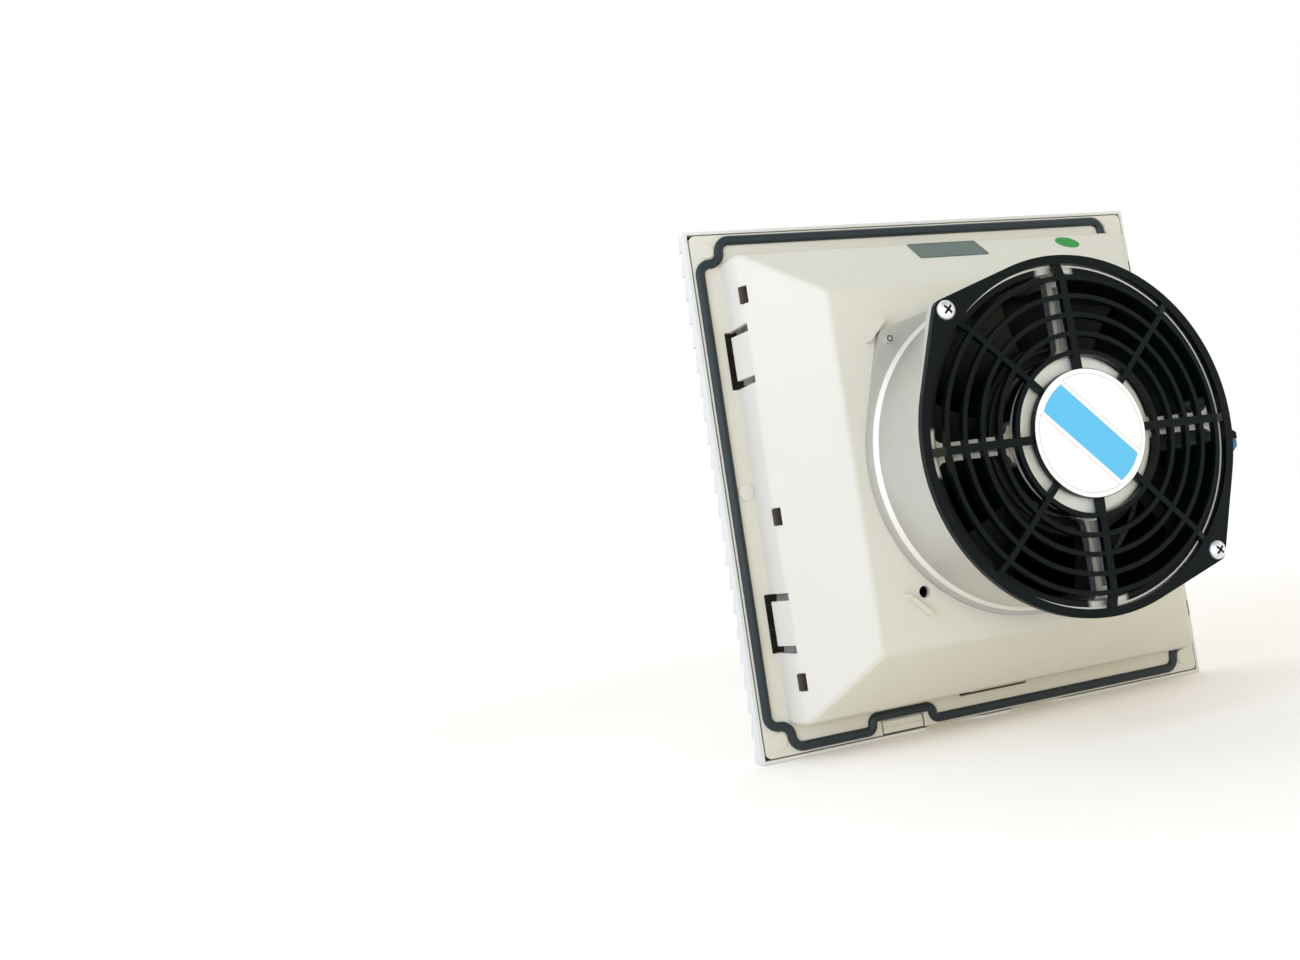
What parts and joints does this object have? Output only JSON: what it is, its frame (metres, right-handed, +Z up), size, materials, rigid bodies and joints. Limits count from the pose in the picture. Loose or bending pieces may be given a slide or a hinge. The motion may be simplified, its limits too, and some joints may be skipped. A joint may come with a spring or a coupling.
{
  "type": "cabinet filter fan",
  "caption": "Panel-mounted filter fan: square louvred cover, filter mat and snap-in sloping hood carrying an axial fan with a finger guard.",
  "frame": {"origin": "centre of the panel face, which is the back of the housing flange, on the fan's axis", "axes": "+Z up, +Y from the louvred front into the cabinet, +X to the right seen from the front"},
  "size_m": [0.255, 0.1195, 0.255],
  "materials": {
    "housing_plastic": "fine moulded satin, pebble beige",
    "cover_plastic": "fine moulded satin, pale beige",
    "seal_foam": "closed skin on soft foam",
    "filter_fibre": "loose white non-woven fibre",
    "grid_plastic": "matte, dark brown",
    "fan_casting": "bare die casting with turned edges",
    "zinc_steel": "bright zinc",
    "guard_plastic": "black, half gloss",
    "lamination_steel": "stacked sheet",
    "copper_wire": "enamelled winding",
    "bearing_steel": "ground",
    "impeller_plastic": "black, satin",
    "plug_plastic": "blue insulation"
  },
  "bodies": {
    "housing": {"housing": "housing_plastic", "seal": "seal_foam", "filter_mat": "filter_fibre", "filter_grid": "grid_plastic", "fan_frame": "fan_casting", "fan_screws": "zinc_steel", "finger_guard": "guard_plastic", "guard_screws": "zinc_steel", "stator_core": "lamination_steel", "stator_windings": "copper_wire", "rear_bearing": "bearing_steel", "front_bearing": "bearing_steel", "terminal_block": "guard_plastic", "terminal_plugs": "plug_plastic"},
    "rotor": {"shaft": "bearing_steel", "shaft_retainer": "bearing_steel", "rotor_cup": "lamination_steel", "rotor_ring": "lamination_steel", "impeller": "impeller_plastic", "impeller_vanes": "impeller_plastic"},
    "cover": {"louvre_cover": "cover_plastic"},
    "cover_catch": {"cover_catch": "housing_plastic"},
    "clip_right_upper": {"clip_right_upper": "housing_plastic"},
    "clip_right_lower": {"clip_right_lower": "housing_plastic"},
    "clip_left_upper": {"clip_left_upper": "housing_plastic"},
    "clip_left_lower": {"clip_left_lower": "housing_plastic"},
    "clip_top": {"clip_top": "housing_plastic"},
    "clip_bottom": {"clip_bottom": "housing_plastic"}
  },
  "joints": [
    {"name": "rotor_spin", "type": "hinge", "parent": "housing", "child": "rotor", "pos_m": [0, 0.075, 0], "axis": [0, 1, 0], "continuous": true},
    {"name": "cover_pull", "type": "slide", "parent": "housing", "child": "cover", "axis": [0, -1, 0], "range_m": [0, 0.045]},
    {"name": "cover_catch_flex", "type": "hinge", "parent": "housing", "child": "cover_catch", "pos_m": [0.0526, -0.0015, -0.1201], "axis": [-1, 0, 0], "range_deg": [0, 16], "stiffness_Nm_per_rad": 0.3},
    {"name": "clip_right_upper_flex", "type": "hinge", "parent": "housing", "child": "clip_right_upper", "pos_m": [0.1086, 0.0172, 0.0633], "axis": [0, 0, -1], "range_deg": [0, 10], "stiffness_Nm_per_rad": 1.5},
    {"name": "clip_right_lower_flex", "type": "hinge", "parent": "housing", "child": "clip_right_lower", "pos_m": [0.1086, 0.0172, -0.0633], "axis": [0, 0, -1], "range_deg": [0, 10], "stiffness_Nm_per_rad": 1.5},
    {"name": "clip_left_upper_flex", "type": "hinge", "parent": "housing", "child": "clip_left_upper", "pos_m": [-0.1086, 0.0172, 0.0633], "axis": [0, 0, 1], "range_deg": [0, 10], "stiffness_Nm_per_rad": 1.5},
    {"name": "clip_left_lower_flex", "type": "hinge", "parent": "housing", "child": "clip_left_lower", "pos_m": [-0.1086, 0.0172, -0.0633], "axis": [0, 0, 1], "range_deg": [0, 10], "stiffness_Nm_per_rad": 1.5},
    {"name": "clip_top_flex", "type": "hinge", "parent": "housing", "child": "clip_top", "pos_m": [0, 0.0172, 0.1086], "axis": [1, 0, 0], "range_deg": [0, 10], "stiffness_Nm_per_rad": 1.5},
    {"name": "clip_bottom_flex", "type": "hinge", "parent": "housing", "child": "clip_bottom", "pos_m": [0, 0.0172, -0.1086], "axis": [-1, 0, 0], "range_deg": [0, 10], "stiffness_Nm_per_rad": 1.5}
  ]
}
